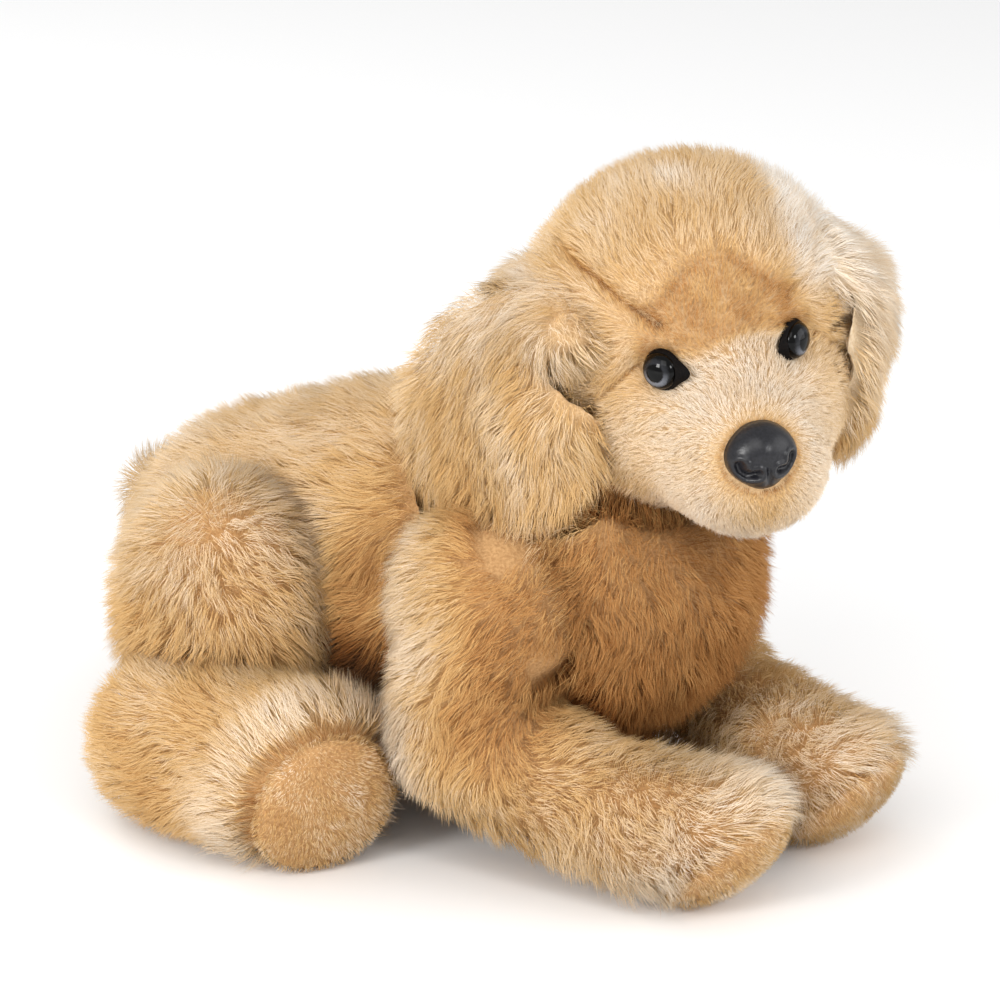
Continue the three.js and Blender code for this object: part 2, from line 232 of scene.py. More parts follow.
def eye_material(word, up):
    """A streaked grey ring round a black pupil, palest below, where it is a painted reflection of the floor;
    up is -1 where the eye's own y points down.
    """
    material = new_material(f"eye_plastic_{word}", 0.04, Specular_IOR_Level=0.18)
    tree = material.node_tree
    where = tree.nodes.new("ShaderNodeTexCoord")
    flat = tree.nodes.new("ShaderNodeVectorMath")
    flat.operation = "MULTIPLY"
    flat.inputs[1].default_value = (1 / MM, 1 / MM, 0)
    radius = tree.nodes.new("ShaderNodeVectorMath")
    radius.operation = "LENGTH"
    streaks = tree.nodes.new("ShaderNodeTexNoise")
    streaks.inputs["Scale"].default_value = 1.1
    streaks.inputs["Detail"].default_value = 5
    jitter = tree.nodes.new("ShaderNodeMath")
    jitter.operation = "MULTIPLY_ADD"
    jitter.inputs[1].default_value = 1.2
    reach = tree.nodes.new("ShaderNodeMapRange")
    reach.inputs["From Min"].default_value = IRIS_FROM
    reach.inputs["From Max"].default_value = IRIS_TO
    ramp = tree.nodes.new("ShaderNodeValToRGB")
    while len(ramp.color_ramp.elements) < len(IRIS):
        ramp.color_ramp.elements.new(0.5)
    for element, (place, colour) in zip(ramp.color_ramp.elements, IRIS):
        element.position = place
        element.color = linear(*colour)
    height = tree.nodes.new("ShaderNodeSeparateXYZ")
    # The ring is painted paler below, as a reflection of the floor.
    floor_reflection = tree.nodes.new("ShaderNodeMapRange")
    floor_reflection.inputs["From Min"].default_value = -3.5 * up
    floor_reflection.inputs["From Max"].default_value = 0.8 * up
    floor_reflection.inputs["To Min"].default_value = 1
    floor_reflection.inputs["To Max"].default_value = 0.12
    dimmed = tree.nodes.new("ShaderNodeVectorMath")
    dimmed.operation = "SCALE"
    link = tree.links.new
    link(where.outputs["Object"], flat.inputs[0])
    link(flat.outputs[0], height.inputs[0])
    link(height.outputs["Y"], floor_reflection.inputs["Value"])
    link(flat.outputs[0], radius.inputs[0])
    link(flat.outputs[0], streaks.inputs["Vector"])
    link(streaks.outputs["Fac"], jitter.inputs[0])
    link(radius.outputs["Value"], jitter.inputs[2])
    link(jitter.outputs[0], reach.inputs["Value"])
    link(reach.outputs[0], ramp.inputs["Fac"])
    link(ramp.outputs["Color"], dimmed.inputs[0])
    link(floor_reflection.outputs[0], dimmed.inputs["Scale"])
    link(dimmed.outputs[0], shader(material).inputs["Base Color"])
    return material


# Pile colours, from dark brown through gold to nearly white; the darker tones also paint shade in hollows and
# creases. A tone is a place here, counted from FIRST_GOLD.
PILE = [
    (56, 37, 24), (98, 64, 38),
    (138, 88, 46), (164, 113, 64), (186, 136, 83), (204, 159, 102), (217, 178, 124),
    (226, 196, 156), (234, 211, 182), (242, 227, 208), (248, 240, 230),
]
FIRST_GOLD = 2
PILE_MATERIALS = [
    new_material(f"pile_{i}", 0.75, Base_Color=linear(*colour), Specular_IOR_Level=0.05)
    for i, colour in enumerate(PILE)
]
GOLD = grain_material("backing_gold", (168, 126, 80), (196, 154, 104), 0.9, 900, 0.6)
SAND = grain_material("backing_sand", (190, 152, 106), (212, 178, 134), 0.9, 900, 0.6)
CREAM = grain_material("backing_cream", (212, 186, 148), (232, 212, 182), 0.9, 900, 0.6)
LID_FELT = grain_material(
    "lid_felt", (5, 4, 4), (16, 11, 9), 0.7, 1500, 0.3, Specular_IOR_Level=0.1)
NOSE_PLASTIC = grain_material(
    "nose_plastic", (16, 16, 20), (29, 29, 34), 0.32, 1100, 0.12, Specular_IOR_Level=0.38)
WASHER_PLASTIC = grain_material("washer_plastic", (205, 205, 200), (225, 225, 221), 0.5, 400, 0.1)
EYE_PLASTIC = {word: eye_material(word, -side) for word, side in SIDES}


# ---- meshes ----
def link_object(name, mesh):
    piece = bpy.data.objects.new(name, mesh)
    bpy.context.scene.collection.objects.link(piece)
    return piece


def coordinates(mesh):
    co = np.empty(len(mesh.vertices) * 3)
    mesh.vertices.foreach_get("co", co)
    return co.reshape(-1, 3)


def normals(mesh):
    values = np.empty(len(mesh.vertices) * 3)
    mesh.vertex_normals.foreach_get("vector", values)
    return values.reshape(-1, 3)


def set_coordinates(mesh, co):
    mesh.vertices.foreach_set("co", co.ravel())
    mesh.update()


def ball(centre, radii, turn):
    """The points and faces of an ellipsoid, as something to sew into a cover."""
    made = bmesh.new()
    place = Matrix.Translation(centre) @ turn.to_4x4() @ Matrix.Diagonal((*radii, 1))
    bmesh.ops.create_icosphere(made, subdivisions=4, radius=1, matrix=place)
    points = np.array([tuple(v.co) for v in made.verts])
    faces = [[v.index for v in f.verts] for f in made.faces]
    made.free()
    return points, faces


def joined_mesh(name, nodes, extra):
    """One mesh of the CAD nodes and of the extra balls."""
    points, faces, start = [], [], 0
    meshes = [frame["nodes"][n].data for n in nodes]
    shapes = [(coordinates(mesh), [list(f.vertices) for f in mesh.polygons]) for mesh in meshes]
    for co, polygons in shapes + [ball(*e) for e in extra]:
        points.append(co)
        faces += [[start + v for v in face] for face in polygons]
        start += len(co)
    made = bpy.data.meshes.new(name)
    made.from_pydata(np.concatenate(points).tolist(), [], faces)
    return made


def mesh_edges(mesh):
    edges = np.empty(len(mesh.edges) * 2, int)
    mesh.edges.foreach_get("vertices", edges)
    return edges.reshape(-1, 2).T


def largest_part(mesh):
    """Deletes every loose part but the largest."""
    a, b = mesh_edges(mesh)
    label = np.arange(len(mesh.vertices))
    while True:
        low = np.minimum(label[a], label[b])
        new = label.copy()
        np.minimum.at(new, a, low)
        np.minimum.at(new, b, low)
        new = new[new]
        if (new == label).all():
            break
        label = new
    best = np.bincount(label).argmax()
    made = bmesh.new()
    made.from_mesh(mesh)
    bmesh.ops.delete(made, geom=[v for v, l in zip(made.verts, label) if l != best], context="VERTS")
    made.to_mesh(mesh)
    made.free()


# One step of smoothing draws the points in and the next lets them out again.
DRAW_IN, LET_OUT = 0.6, -0.57


def relax(mesh, rounds):
    """Taubin smoothing, which rounds off facets and keeps the volume."""
    a, b = mesh_edges(mesh)
    co = coordinates(mesh)
    degree = np.bincount(np.concatenate([a, b]), minlength=len(co))[:, None]
    for step in range(rounds):
        total = np.zeros_like(co)
        np.add.at(total, a, co[b])
        np.add.at(total, b, co[a])
        co = co + (DRAW_IN if step % 2 == 0 else LET_OUT) * (total / degree - co)
    set_coordinates(mesh, co)


# ---- covers: one sewn skin for each stuffed section, which stands for its CAD panels and filling ----
# No cover and no strand's tip comes closer to the ground than FLOOR, and no corner of a strand than LOWEST.
FLOOR = 0.8 * MM
LOWEST = 0.25 * MM


def riding(body):
    return lambda piece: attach(piece, body)


def bending():
    return lambda piece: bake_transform(piece)


def cover(name, bind, nodes, inset=3, voxel=4, shape=None, extra=(), backing=GOLD):
    """One skin round the nodes and the extra balls, inset mm inside them, with its points moved by shape."""
    rough = link_object(name + "_rough", joined_mesh(name, nodes, extra))
    remesh = rough.modifiers.new("remesh", "REMESH")
    remesh.mode = "VOXEL"
    remesh.voxel_size = voxel * MM
    mesh = bpy.data.meshes.new_from_object(rough.evaluated_get(bpy.context.evaluated_depsgraph_get()))
    bpy.data.objects.remove(rough)
    largest_part(mesh)
    relax(mesh, rounds=40)
    co = coordinates(mesh) - inset * MM * normals(mesh)
    if shape:
        set_coordinates(mesh, co)
        co = shape(co, normals(mesh))
    co[:, 2] = np.maximum(co[:, 2], FLOOR)
    set_coordinates(mesh, co)
    mesh.polygons.foreach_set("use_smooth", np.ones(len(mesh.polygons), bool))
    mesh.materials.append(backing)
    piece = link_object(name, mesh)
    bind(piece)
    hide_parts(*nodes)
    return piece


# ---- pile ----
def scattered(mesh, count, rng):
    """Points spread evenly over a mesh, with the surface's normals there."""
    mesh.calc_loop_triangles()
    corners = np.empty(len(mesh.loop_triangles) * 3, int)
    mesh.loop_triangles.foreach_get("vertices", corners)
    corners = corners.reshape(-1, 3)
    co, nor = coordinates(mesh), normals(mesh)
    a, b, c = (co[corners[:, i]] for i in range(3))
    area = np.linalg.norm(np.cross(b - a, c - a), axis=1) / 2
    share = np.cumsum(area) / area.sum()
    pick = np.searchsorted(share, (np.arange(count) + rng.random(count)) / count).clip(0, len(area) - 1)
    u, v = rng.random(count), rng.random(count)
    over = u + v > 1
    u[over], v[over] = 1 - u[over], 1 - v[over]
    weights = np.stack([1 - u - v, u, v], 1)[:, :, None]
    return (co[corners[pick]] * weights).sum(1), unit((nor[corners[pick]] * weights).sum(1))


# Other covers are looked for within SEARCH, and a point that finds none counts as FAR away.
SEARCH = 20 * MM
FAR = 1.0


def beside(points, others):
    """How far each point is outside the nearest of the other covers; a negative distance is inside one."""
    gap = np.full(len(points), FAR)
    for skin in others:
        corners = [v.co for v in skin.data.vertices]
        tree = BVHTree.FromPolygons(corners, [face.vertices for face in skin.data.polygons])
        for i, p in enumerate(points):
            place, normal, _, distance = tree.find_nearest(Vector(p), SEARCH)
            if place is not None:
                gap[i] = min(gap[i], distance if (Vector(p) - place).dot(normal) > 0 else -distance)
    return gap


# In degrees: how much more the pile stands where it parts and in a crease, and how a strand bends over.
PARTING_LIFT = 34
CREASE_LIFT = 20
LOWER_HALF, UPPER_HALF = 20, -12


def strand_path(root, normal, flow, length, lift, sway):
    """A bend and a tip for each strand, which leaves the cloth steeply and leans over along the flow."""
    flow = flow - (flow * normal).sum(1, keepdims=True) * normal
    # Where the pile parts, or would run straight out of the cloth, it stands up instead.
    lift = lift + PARTING_LIFT * (1 - smooth(np.linalg.norm(flow, axis=1), 0, 0.45))
    flow = unit(flow)
    side = np.cross(normal, flow)
    along = unit(flow * np.cos(sway)[:, None] + side * np.sin(sway)[:, None])
    steep = np.radians(np.clip(lift + LOWER_HALF, 0, 88))[:, None]
    low = np.radians(np.clip(lift + UPPER_HALF, -5, 84))[:, None]
    half = (length / 2)[:, None]
    bend = root + half * (np.cos(steep) * along + np.sin(steep) * normal)
    return bend, bend + half * (np.cos(low) * along + np.sin(low) * normal)


# A strand's corners are its root, a ring of three at its bend and its tip; these are its faces.
RING = 3
SPINDLE = [[0, 1, 2], [0, 2, 3], [0, 3, 1], [2, 1, 4], [3, 2, 4], [1, 3, 4]]
# How much more a strand's shading follows the cloth under it than its own round side.
SOFTNESS = 1.6
# The pile starts to stand up this close to another cover.
CREASE = 12 * MM
# Pile that lies this deep inside another cover is left out.
HIDDEN = -1.0 * MM
# A strand's root is this deep in the cloth.
ROOT_DEPTH = 0.8 * MM
STRANDS_PER_TUFT = 18
MOST_STRANDS = 30000
# How far strands stray from their field, in waves over the cloth, tuft by tuft and one by one: to the side in
# radians, and in lift in degrees.
SWAY_WAVES, SWAY_TUFT, SWAY_OWN = 0.5, 0.26, 0.2
LIFT_WAVES, LIFT_TUFT, LIFT_OWN = 7, 5, 5
# The same in tones, where waves and tufts count for more on a pile with paler tips.
TONE_WAVES, TONE_TUFT, TONE_OWN = 0.35, 0.22, 0.2


def tufts(root, rng):
    """Each strand's tuft, given by the strand that leads it, and three random values that a tuft shares."""
    count = len(root)
    leaders = rng.permutation(count)[: max(count // STRANDS_PER_TUFT, 1)]
    tree = kdtree.KDTree(len(leaders))
    for i, leader in enumerate(leaders):
        tree.insert(Vector(root[leader]), i)
    tree.balance()
    tuft = leaders[np.array([tree.find(Vector(p))[1] for p in root])]
    own = np.zeros((3, count))
    own[:, leaders] = rng.standard_normal((3, len(leaders)))
    return tuft, own[:, tuft]


def spindles(root, bend, tip, normal, width):
    """Each strand as a closed spindle: its corners, and the direction that each of them shades by."""
    run = unit(tip - root)
    side = unit(np.cross(run, normal))
    rise = np.cross(side, run)
    rings = []
    for k in range(RING):
        angle = TAU * k / RING + 0.5
        rings.append(bend + 0.5 * width * (math.cos(angle) * side + 0.8 * math.sin(angle) * rise))
    corners = [root] + rings + [tip]
    co = np.stack(corners, 1)
    co[..., 2] = np.maximum(co[..., 2], LOWEST)
    # The pile shades as the soft surface under it, and not as separate hard threads.
    middles = [root - normal] + [bend] * (RING + 1)
    soft = np.stack([unit(SOFTNESS * normal + unit(p - m)) for p, m in zip(corners, middles)], 1)
    return co, soft


def face_tones(tone, depth, rng):
    """The pile material of each face: a strand's root half, then its tip half, which is paler by depth,
    partly as the pile's own pale tips and partly as painted shade at the roots.
    """
    tones = (tone + TONE_OWN * rng.standard_normal(len(tone)))[:, None]
    halves = [np.floor(tones + d + rng.random((len(tone), 1)) - 0.5) for d in (-0.5 * depth, 0.5 * depth)]
    index = np.concatenate([np.repeat(half, RING, 1) for half in halves], 1) + FIRST_GOLD
    return index.clip(0, len(PILE) - 1).astype(int)


def pile(name, bind, skin, field, per_cm2, seed, width=0.25, clump=0.5, depth=1.0, others=()):
    """Long pile on a cover.

    field(points, normals) gives each strand's length in mm, lift in degrees, tone and flow, and the share
    of the strands to keep. width is a strand's in mm, clump how far its tip is drawn to its tuft, and depth
    how many tones its tip is paler than its root, partly as the pile's own pale tips and partly as painted
    shade at the roots.
    """
    rng = np.random.default_rng(seed)
    count = int(sum(face.area for face in skin.data.polygons) * 1e4 * per_cm2)
    root, normal = scattered(skin.data, count, rng)
    length, lift, tone, flow, keep = field(root, normal)
    gap = beside(root, others)
    # Where two sections meet, the pile stands up and fills the crease between them.
    close = 1 - smooth(gap, 2 * MM, CREASE)
    lift = lift + CREASE_LIFT * close
    chosen = (rng.random(count) < keep) & (root[:, 2] > 2.2 * FLOOR) & (gap > HIDDEN)
    root, normal, length, lift, tone, flow = (v[chosen] for v in (root, normal, length, lift, tone, flow))
    count = len(root)

    tuft, shared = tufts(root, rng)
    sway = SWAY_WAVES * ripple(root, 24 * MM, seed) + SWAY_TUFT * shared[0]
    sway = sway + SWAY_OWN * rng.standard_normal(count)
    lift = lift + LIFT_WAVES * ripple(root, 16 * MM, seed + 1) + LIFT_TUFT * shared[1]
    lift = lift + LIFT_OWN * rng.standard_normal(count)
    tone = tone + TONE_WAVES * depth * ripple(root, 26 * MM, seed + 2) + TONE_TUFT * depth * shared[2]
    length = length * MM * (0.82 + 0.3 * rng.random(count))
    bend, tip = strand_path(root, normal, flow, length, lift, sway)
    # Every strand leans its tip towards the tip of its tuft's leader, and its bend by a part of that.
    pull = (clump * rng.random(count))[:, None]
    tip = tip * (1 - pull) + tip[tuft] * pull
    bend = bend * (1 - 0.35 * pull) + bend[tuft] * 0.35 * pull
    tip += 0.03 * length[:, None] * rng.standard_normal((count, 3))
    root = root - ROOT_DEPTH * normal
    for points in (root, bend, tip):
        points[:, 2] = np.maximum(points[:, 2], FLOOR)
    co, soft = spindles(root, bend, tip, normal, width * MM)
    index = face_tones(tone, depth, rng)

    parts = np.array_split(np.argsort(root[:, 1]), math.ceil(count / MOST_STRANDS))
    for i, part in enumerate(parts):
        piece = strands(f"{name}_{i + 1}" if len(parts) > 1 else name, co[part], index[part], soft[part])
        bind(piece)


def strands(name, co, index, soft):
    """A mesh of strands from their corners, a material for each face and a normal for each corner."""
    count, each = co.shape[:2]
    total = count * len(SPINDLE)
    loops = (np.array(SPINDLE).ravel()[None, :] + each * np.arange(count)[:, None]).ravel()
    made = bpy.data.meshes.new(name)
    made.vertices.add(count * each)
    made.vertices.foreach_set("co", co.ravel())
    made.loops.add(len(loops))
    made.loops.foreach_set("vertex_index", loops)
    made.polygons.add(total)
    made.polygons.foreach_set("loop_start", 3 * np.arange(total))
    made.polygons.foreach_set("loop_total", np.full(total, 3))
    made.polygons.foreach_set("material_index", index.ravel())
    made.polygons.foreach_set("use_smooth", np.ones(total, bool))
    for material in PILE_MATERIALS:
        made.materials.append(material)
    made.update(calc_edges=True)
    made.normals_split_custom_set_from_vertices(soft.reshape(-1, 3).tolist())
    return link_object(name, made)


def all_points(points, value):
    return np.full(len(points), float(value))


# ---- torso and neck ----
# The fields and shapes of the body take places in metres; those of the head, in mm in its own frame.
def body_flow(p, n):
    """Which way the pile lies on the trunk: back along the spine, down the flanks and the chest."""
    spine = mix((0, 1, -0.15), (0, 0.75, -0.65), smooth(np.abs(n[:, 0]), 0.25, 0.9))
    rump = smooth(p[:, 1], 0.055, 0.105)
    flow = mix(spine, (0, 0.35, -1), rump)
    shoulder = smooth(-p[:, 1], 0.03, 0.09) * smooth(np.abs(p[:, 0]), 0.02, 0.05)
    down = np.stack([0.8 * np.sign(p[:, 0]), all_points(p, 0.3), all_points(p, -1)], 1)
    flow = mix(flow, down, shoulder)
    front = smooth(-n[:, 1], 0.0, 0.7) * smooth(-p[:, 1], 0.07, 0.12)
    chest = np.stack([0.3 * np.tanh(p[:, 0] / 0.02), all_points(p, 0.1), all_points(p, -1)], 1)
    return mix(flow, chest, front)


def torso_field(p, n):
    under = smooth(-n[:, 2], 0.5, 0.9) * (1 - smooth(p[:, 2], 0.02, 0.05))
    front = smooth(-n[:, 1], 0.0, 0.6) * smooth(-p[:, 1], 0.07, 0.12)
    length = mix(mix(17, 15, front), 9, under)
    # Paler where the pile faces up, painted light, and darker on the front of the chest, painted shade under
    # the head.
    tone = 4.4 + 0.5 * smooth(n[:, 2], 0.2, 0.9) - 2.8 * front + 0.5 * smooth(p[:, 1], 0.02, 0.1)
    # Painted shade: the pile is darkened to brown in the hollow behind the elbow, under the chest and on the
    # flank next to the arm.
    painted_hollow_shade = smooth(0.096 - p[:, 2], 0, 0.03) * (1 - smooth(p[:, 1], -0.01, 0.03))
    painted_shade_behind_arm = bell(p[:, 1] + 0.058, 0.022) * smooth(np.abs(p[:, 0]), 0.03, 0.06)
    tone = tone - 4.5 * painted_hollow_shade * (1 - front) - 1.8 * smooth(0.05 - p[:, 2], 0, 0.02) * front
    tone = tone - 2.0 * painted_shade_behind_arm * (1 - front)
    # Long pile that stands up round the root of the tail closes the crease there.
    at_tail = 1 - smooth(np.linalg.norm(p - np.array(JOINTS["tail_wag"]), axis=1), 0.018, 0.036)
    return length + 7 * at_tail, 46 + 4 * front + 22 * at_tail, tone, body_flow(p, n), 1 - 0.7 * under


def torso_shape(co, nor):
    """A rump that falls away a little towards the tail."""
    return co - 5 * MM * nor * smooth(co[:, 1], 0.07, 0.105)[:, None]


def neck_field(p, n):
    flow = mix(body_flow(p, n), (0, 0.1, -1), 0.6)
    near_head = 1 - smooth(np.linalg.norm(p - np.array(HEAD.translation), axis=1), 0.058, 0.076)
    flow = mix(flow, (0, 0.3, 1), near_head)
    # The neck is darker than the trunk, and darker still on its right side facing forward: painted shade
    # under the head and the ear.
    tone = 3.4 - 2.2 * smooth(-p[:, 0], -0.01, 0.03) * smooth(-n[:, 1], -0.2, 0.4)
    return all_points(p, 19), all_points(p, 50), tone, flow, all_points(p, 1)


# ---- limbs ----
# Which way the sole of a front paw and the pad of the left hind foot face, and how much of their edges
# the long pile hides.
SOLE_OUT = (0, -0.71, -0.7)
SOLE_PILE = 9 * MM
PAD_OUT = (0.45, -0.86, -0.24)
PAD_PILE = 3 * MM
# The length of a sole's or a pad's own pile, in mm.
SHORT_PILE = 3.8


def plane_of(node, out, pile_over):
    """How far out along a direction a sole starts, once the pile that lies over its seam is taken off."""
    return float((coordinates(frame["nodes"][node].data) @ np.array(out)).min()) - pile_over


def station_flow(p, stations):
    """The direction along a line of stations at each point, and the share of the line that is behind it."""
    points = np.array([tuple(s) for s in stations])
    legs = points[1:] - points[:-1]
    steps = np.linalg.norm(legs, axis=1)
    reach = np.concatenate([[0], np.cumsum(steps)]) / steps.sum()
    weights, flow, share = np.zeros(len(p)), np.zeros_like(p), np.zeros(len(p))
    for i, leg in enumerate(legs):
        t = np.clip(((p - points[i]) @ leg) / (leg @ leg), 0, 1)
        gap = np.linalg.norm(p - (points[i] + t[:, None] * leg), axis=1)
        w = np.exp(-gap / (6 * MM))
        weights += w
        flow += w[:, None] * leg / steps[i]
        share += w * mix(reach[i], reach[i + 1], t)
    return flow / weights[:, None], share / weights


def sole_shape(out, start):
    """A sole that is pressed flatter than the stuffing would make it, inside the groove of its seam."""
    def shape(co, nor):
        ahead = (co @ np.array(out) - start) / MM
        raised = 5.5 * smooth(ahead, 0.5, 5) - 2.2 * bell(ahead, 2.2)
        return co + MM * (nor * raised[:, None] - 0.55 * np.maximum(ahead, 0)[:, None] * np.array(out))

    return shape


def arm_field(shoulder, elbow, wrist, paw, sole_out, sole_from):
    def field(p, n):
        flow, share = station_flow(p, [shoulder, elbow, wrist, paw])
        flow = flow + np.array([0, 0, -0.25])
        outward = math.copysign(1, shoulder.x)
        flow = mix((0.6 * outward, 0.7, -0.55), flow, smooth(share, 0.05, 0.42))
        ahead = (p @ np.array(sole_out) - sole_from) / MM
        sole = smooth(ahead, -0.5, 1.0)
        rim = bell(ahead + 8, 11) * (1 - sole)
        out = unit(p - np.array(paw))
        flow = mix(flow, 0.5 * np.array(sole_out) + out + flow, rim)
        length = mix(mix(14, 18, rim), SHORT_PILE, sole)
        # Darker towards the shoulder, painted shade under the head and ear; paler on the outer back side of
        # the upper arm, painted light.
        tone = mix(2.2, 5.1, smooth(share, 0.1, 0.95)) + 0.9 * rim
        painted_light_side = smooth(n @ np.array([0.57 * outward, 0.82, 0]), 0.1, 0.85)
        tone = tone + 3.2 * painted_light_side * (1 - smooth(share, 0.35, 0.6))
        tone = mix(tone, 4.8 + 0.6 * ripple(p, 6 * MM, 71), sole) - 3.2 * bell(ahead - 0.6, 1.4)
        lift = mix(mix(44, 50, rim), 66, sole)
        under = smooth(-n[:, 2], 0.55, 0.95)
        return mix(length, 5, under), lift, tone, flow, 1 - 0.5 * under

    return field


def thigh_field(hip):
    def field(p, n):
        low = smooth(hip.z - p[:, 2], -0.045, 0.02)
        spread = (p - np.array(hip)) * (0, 1, 1) / (32 * MM)
        flow = 0.8 * spread + np.array([0, 0.15, -1.1])
        edge = smooth(hip.z - p[:, 2], 0.0, 0.04) * smooth(hip.y - p[:, 1], -0.02, 0.03)
        # The lower thigh is darker: painted shade.
        tone = 5.2 - 1.1 * low + 0.8 * edge - 0.4 * bell(np.linalg.norm(spread, axis=1) - 0.2, 0.35)
        return 16 + 2 * edge, all_points(p, 46), tone, flow, all_points(p, 1)

    return field


def foot_field(heel, toe, pad_out, pad_from):
    def field(p, n):
        ahead = (p @ np.array(pad_out) - pad_from) / MM
        pad = smooth(ahead, -0.5, 1.0)
        rim = bell(ahead + 7, 11) * (1 - pad)
        centre = toe + Vector(pad_out) * 12 * MM
        away = unit(p - np.array(centre))
        back = np.array(heel - toe) / (heel - toe).length + np.array([0, 0, -0.2])
        flow = mix(back, away - 0.6 * np.array(pad_out), rim)
        flow = mix(flow, away + np.array([0, 0, -0.8]), pad)
        length = mix(mix(13, 19, rim), SHORT_PILE, pad)
        tone = mix(mix(4.2, 5.8, rim), 4.5 + 0.6 * ripple(p, 6 * MM, 72), pad)
        tone = tone - 3.6 * bell(ahead - 0.5, 1.3)
        lift = mix(mix(44, 40, rim), 66, pad)
        under = smooth(-n[:, 2], 0.55, 0.95)
        return mix(length, 5, under), lift, tone, flow, 1 - 0.5 * under

    return field


def tail_field(stations):
    def field(p, n):
        flow, share = station_flow(p, stations)
        root = 1 - smooth(share, 0.1, 0.3)
        flow = mix(flow + np.array([0, 0, -0.2]), (0, -1, 0), root)
        return 19 - 3 * root, 44 + 20 * root, all_points(p, 5.2), flow, all_points(p, 1)

    return field


# ---- head ----
# Places along the seams on the right of the head.
BROW = [(-48, -2, 41), (-48, -17, 38), (-43, -32, 34), (-35, -45, 26), (-28, -51, 20)]
CHEEK_SEAM = [(-40, -48, 4), (-46, -43, -4), (-52, -38, -12), (-54, -37, -21), (-54, -37, -31)]


def mirrored(q):
    """The head's points folded over to its right side, where the seams are listed."""
    return np.stack([-np.abs(q[:, 0]), q[:, 1], q[:, 2]], 1)


def seam_gap(q, seam):
    """Distance from a seam, measured round the head and not into it."""
    centre, radius = np.array([0, -14, 0]), 60
    return line_gap(radius * unit(q - centre), [radius * unit(np.array(place) - centre) for place in seam])


def face_parts(q):
    """How far each point, in mm in the head's frame, is from the features of the face."""
    x, y, z = q.T
    arc = 22 + 15.5 * np.exp(-(np.abs(x + 2) / 20) ** 2.8)
    front = smooth(-y, 22, 38)
    return {
        "eye": np.minimum(*(np.linalg.norm(q - (s * 29, -54, 3), axis=1) for s in (-1, 1))),
        "nose": np.linalg.norm((q - (0, -82, -27)) * (0.93, 1, 1.04), axis=1),
        "arc": mix(60, np.abs(z - arc), front * (1 - smooth(np.abs(x + 2), 30, 38))),
        "above": smooth(z - arc, -4.0, 4.0),
        "brow": seam_gap(mirrored(q), BROW),
        "over_brow": smooth(z - 20 - 0.43 * (y + 51), -1.5, 1.5),
        "cheek": seam_gap(mirrored(q), CHEEK_SEAM),
        "cream": smooth(9 - 0.012 * x * x + 3 * np.tanh(x / 14) - z, -3.5, 5) * smooth(-y, 30, 48),
        "front": front,
    }


def head_shape(co, nor):
    """Eye sockets, the folds of the brow and cheeks, a fuller crown and a fuller chin."""
    q = moved(co, HEAD_BACK) / MM
    f = face_parts(q)
    out = 1.6 * f["above"] * f["front"] - 1.2 * bell(f["arc"], 4.5) - 3.8 * bell(f["eye"], 9.5)
    out -= 3.6 * bell(f["brow"], 4) * np.where(q[:, 0] < 0, 1, 0.4) + 1.8 * bell(f["cheek"], 3)
    out += 7 * bell(np.linalg.norm(q - (12, -62, -58), axis=1), 26) + 2.6 * (1 - smooth(f["nose"], 15, 30))
    return co + nor * out[:, None] * MM


def head_field(p, n):
    q = moved(p, HEAD_BACK) / MM
    x, y, z = q.T
    f = face_parts(q)
    crown = smooth(z, 6, 22) * np.maximum(f["above"], 1 - f["front"])
    snout = f["cream"]
    forehead = f["front"] * (1 - f["above"]) * smooth(z, 2, 10) * (1 - snout)
    forehead = forehead * (1 - smooth(np.abs(x), 27, 36))
    length = mix(11, 7.5, smooth(-y, 24, 46) * (1 - crown))
    length = mix(length, 5.0, forehead)
    length = mix(length, 6.0, snout)
    length = mix(length, 3.2, 1 - smooth(f["nose"], 14, 26))
    length = mix(length, 3.2, 1 - smooth(f["eye"], 9, 15))
    right = np.where(x < 0, 1, 0.4)
    length = length * (1 - 0.3 * bell(f["arc"], 3.5)) * (1 - 0.75 * right * bell(f["brow"], 4))
    length = length * (1 - 0.75 * bell(f["cheek"], 3))
    tone = 4.9 + 0.1 * crown + 0.1 * smooth(-z, 10, 40) + 0.3 * ripple(q, 16, 60)
    tone = mix(tone, 2.8 + 0.45 * ripple(q, 9, 61), forehead)
    tone = mix(tone, mix(6.8, 5.4, smooth(np.abs(x), 18, 40)) + 0.25 * ripple(q, 14, 62), snout)
    pale = smooth(x, 22, 31) * smooth(z, 8, 24)
    tone = tone + 2.6 * pale + 1.9 * bell(np.linalg.norm(q - (-4, -12, 60), axis=1), 7)
    # Painted shade: darker along the fold of the arc over the forehead and in the brow crease; the cheek seam
    # is darker too.
    tone = tone - mix(0.3, 0.9, smooth(x, -22, -6)) * bell(f["arc"], 3.5)
    tone = tone - 3.4 * right * bell(f["brow"], 3.2) - 2.4 * bell(f["cheek"], 1.7)
    tone = tone - 6.5 * (1 - smooth(f["eye"], 8.8, 10.6)) - 0.9 * (1 - smooth(f["eye"], 10, 15))
    tone = tone - 3.0 * (1 - smooth(f["nose"], 13.2, 15)) - 1.0 * (1 - smooth(f["nose"], 14, 20))
    # Painted shade under the nose, on the chin.
    tone = tone - 2.0 * bell(np.linalg.norm(q - (0, -76, -46), axis=1), 14)
    away = unit(q - (0, -84, -22))
    beside_eye = smooth(np.abs(x), 24, 36) * smooth(-y, -5, 20) * (1 - f["over_brow"])
    flow = away + np.stack([0 * x, 0.5 * beside_eye, -0.3 * smooth(-z, 10, 40) - 0.6 * beside_eye], 1)
    keep = (f["eye"] > 7.7) & (f["nose"] > 13.0)
    lift = mix(mix(mix(46, 52, crown), 32, forehead), 22, snout)
    return length, lift, tone, turned(flow, HEAD), keep.astype(float)


